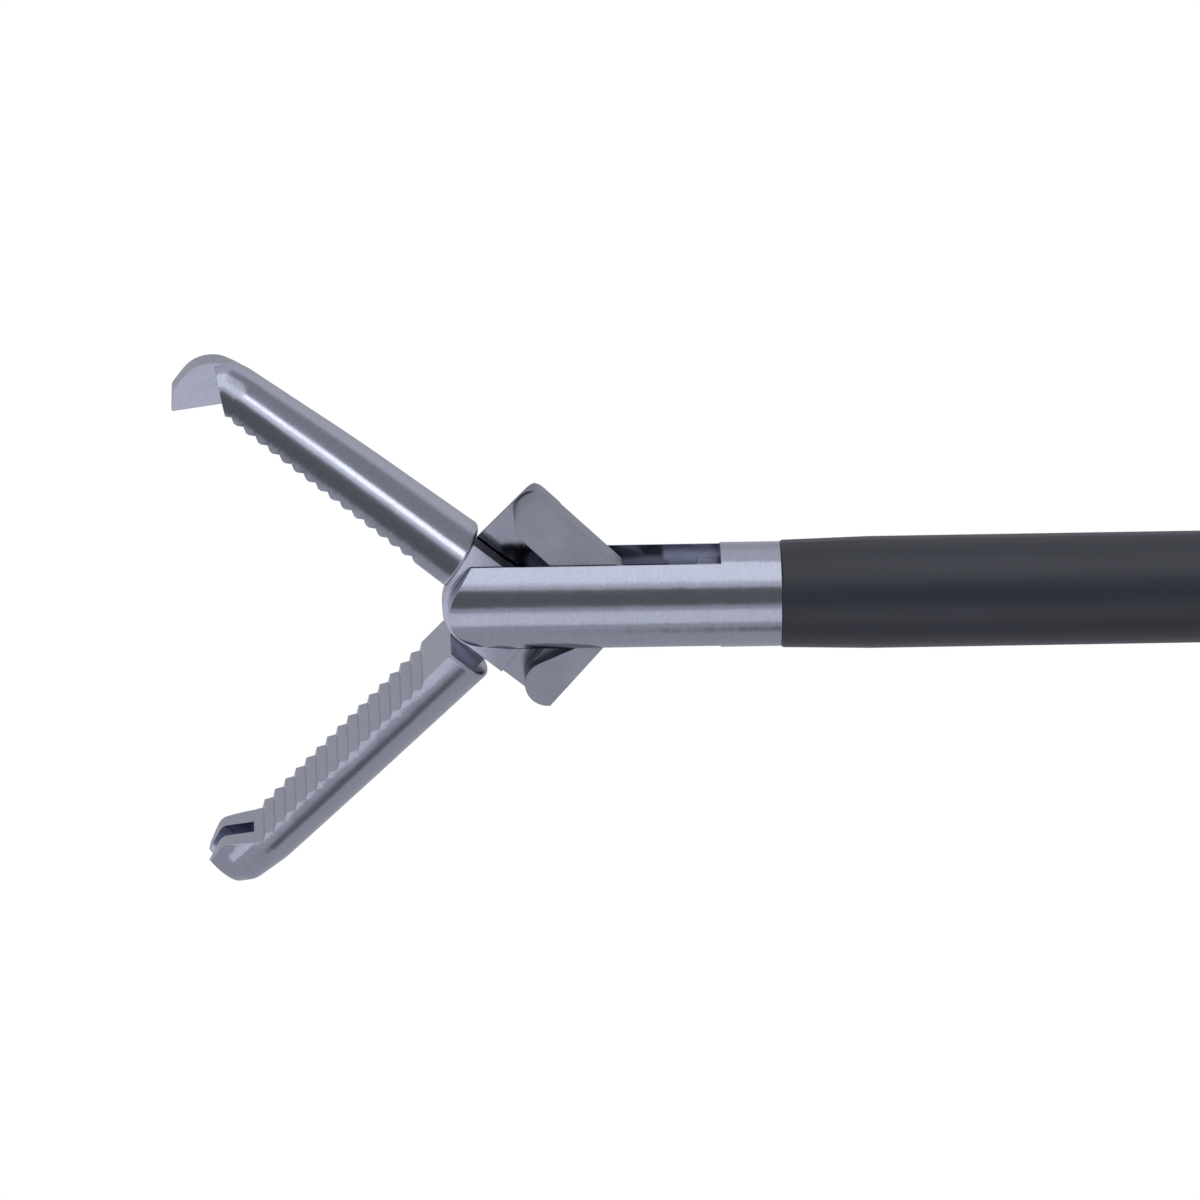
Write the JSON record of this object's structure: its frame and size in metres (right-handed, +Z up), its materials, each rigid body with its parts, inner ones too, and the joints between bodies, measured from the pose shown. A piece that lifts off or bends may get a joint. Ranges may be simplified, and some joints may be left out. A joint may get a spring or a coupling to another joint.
{
  "type": "grasping forceps",
  "caption": "Laparoscopic grasping forceps: serrated double-action jaws on toggle links, a slim insulated rotating shaft, a rotation wheel and a ring handle with a thumb lever.",
  "frame": {"origin": "on the shaft's axis, where the insulated shaft leaves the front face of the rotation wheel", "axes": "-X along the shaft to the jaws, +X to the user; +Z up, the handle rings hang along -Z; -Y is the side with the screw heads"},
  "size_m": [0.4365, 0.024, 0.1125],
  "materials": {
    "jaw_steel": "fine brushed and beaded stainless steel",
    "link_steel": "fine ground stainless steel",
    "body_steel": "turned and polished stainless steel",
    "pin_steel": "ground stainless steel",
    "rod_steel": "drawn stainless steel",
    "tube_steel": "drawn stainless steel tube",
    "screw_steel": "machined stainless steel",
    "insert_steel": "milled stainless steel",
    "post_steel": "polished stainless steel",
    "insert_brass": "knurled brass",
    "spring_bronze": "rolled bronze strip",
    "insulation": "extruded dark heat-shrink insulation, satin",
    "seal_silicone": "moulded silicone",
    "wheel_plastic": "moulded high-temperature plastic, satin",
    "handle_plastic": "moulded high-temperature plastic, fine spark-eroded grain",
    "bearing_plastic": "machined bearing plastic",
    "collar_plastic": "moulded insulating plastic"
  },
  "bodies": {
    "handle": {"handle_shell_left": "handle_plastic", "handle_shell_right": "handle_plastic", "shell_screws": "screw_steel", "screw_inserts": "insert_brass", "bearing_bush": "bearing_plastic", "connector_post": "post_steel", "post_insulator": "collar_plastic", "contact_spring": "spring_bronze", "lever_pivot_pin": "pin_steel", "stop_pin": "pin_steel"},
    "shaft": {"clevis": "body_steel", "jaw_pivot_pin": "body_steel", "shaft_tube": "tube_steel", "insulation_sleeve": "insulation", "rod_seal": "seal_silicone", "rotation_wheel": "wheel_plastic", "wheel_bush": "tube_steel", "wheel_grub_screw": "screw_steel"},
    "rod": {"rod_head": "link_steel", "drive_pin": "pin_steel", "pull_rod": "rod_steel", "rod_ball": "rod_steel", "ball_lock_nut": "screw_steel"},
    "upper_jaw": {"upper_jaw": "jaw_steel", "upper_tail_pin": "pin_steel"},
    "lower_jaw": {"lower_jaw": "jaw_steel", "lower_tail_pin": "pin_steel"},
    "upper_link": {"upper_link": "link_steel"},
    "lower_link": {"lower_link": "link_steel"},
    "lever": {"thumb_lever": "handle_plastic", "lever_insert": "insert_steel", "insert_rivets": "pin_steel"}
  },
  "joints": [
    {"name": "shaft_rotation", "type": "hinge", "parent": "handle", "child": "shaft", "pos_m": [0, 0, 0], "axis": [1, 0, 0], "continuous": true},
    {"name": "lever_squeeze", "type": "hinge", "parent": "handle", "child": "lever", "pos_m": [0.058, 0, -0.01], "axis": [0, 1, 0], "range_deg": [0, 19.8]},
    {"name": "rod_slide", "type": "slide", "parent": "shaft", "child": "rod", "axis": [1, 0, 0], "range_m": [0, 0.00349]},
    {"name": "upper_jaw_hinge", "type": "hinge", "parent": "shaft", "child": "upper_jaw", "pos_m": [-0.3126, 0, 0], "axis": [0, -1, 0], "range_deg": [0, 39.5]},
    {"name": "lower_jaw_hinge", "type": "hinge", "parent": "shaft", "child": "lower_jaw", "pos_m": [-0.3126, 0, 0], "axis": [0, 1, 0], "range_deg": [0, 45.7]},
    {"name": "upper_link_hinge", "type": "hinge", "parent": "upper_jaw", "child": "upper_link", "pos_m": [-0.30991, 0, -0.00367], "axis": [0, 1, 0], "range_deg": [0, 75.13]},
    {"name": "lower_link_hinge", "type": "hinge", "parent": "lower_jaw", "child": "lower_link", "pos_m": [-0.31032, 0, 0.00394], "axis": [0, -1, 0], "range_deg": [0, 78.54]}
  ],
  "couplings": [
    {"joint": "rod_slide", "follows": "lever_squeeze", "m_per_rad": 0.010101},
    {"joint": "upper_jaw_hinge", "follows": "lever_squeeze", "ratio": 1.9954},
    {"joint": "lower_jaw_hinge", "follows": "lever_squeeze", "ratio": 2.3085},
    {"joint": "upper_link_hinge", "follows": "lever_squeeze", "ratio": 3.7951},
    {"joint": "lower_link_hinge", "follows": "lever_squeeze", "ratio": 3.9672}
  ]
}
